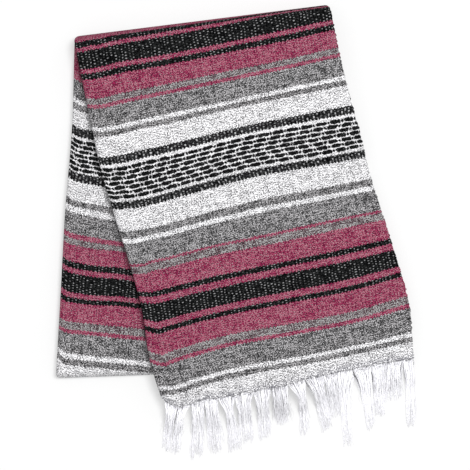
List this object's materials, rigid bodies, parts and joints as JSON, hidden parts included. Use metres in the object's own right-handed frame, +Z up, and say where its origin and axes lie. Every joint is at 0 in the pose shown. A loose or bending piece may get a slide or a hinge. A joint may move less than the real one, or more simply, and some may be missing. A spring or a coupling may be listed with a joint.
{
  "type": "folded mexican serape blanket",
  "caption": "Striped woven serape blanket folded into a strip and doubled, lying flat, with its fringed ends at the lower end of the front leg.",
  "frame": {"origin": "on the table, under the middle of the folded blanket's box, fringe included", "axes": "+Z up from the table, +Y from the fringe to the top fold, +X from the rounded left folds to the selvedges"},
  "size_m": [0.433, 0.5504, 0.0323],
  "materials": {
    "striped_cloth": "weft-faced plain weave of heathered yarn, striped in magenta, black, grey and white",
    "inner_cloth": "the same striped cloth, seen at its stacked edges",
    "fringe_yarn": "loose white yarn in tassels"
  },
  "bodies": {
    "root": {"front_panel": "striped_cloth", "front_layers": "inner_cloth", "back_panel": "striped_cloth", "back_layers": "inner_cloth", "fringe_upper": "fringe_yarn", "fringe_lower": "fringe_yarn"}
  },
  "joints": []
}
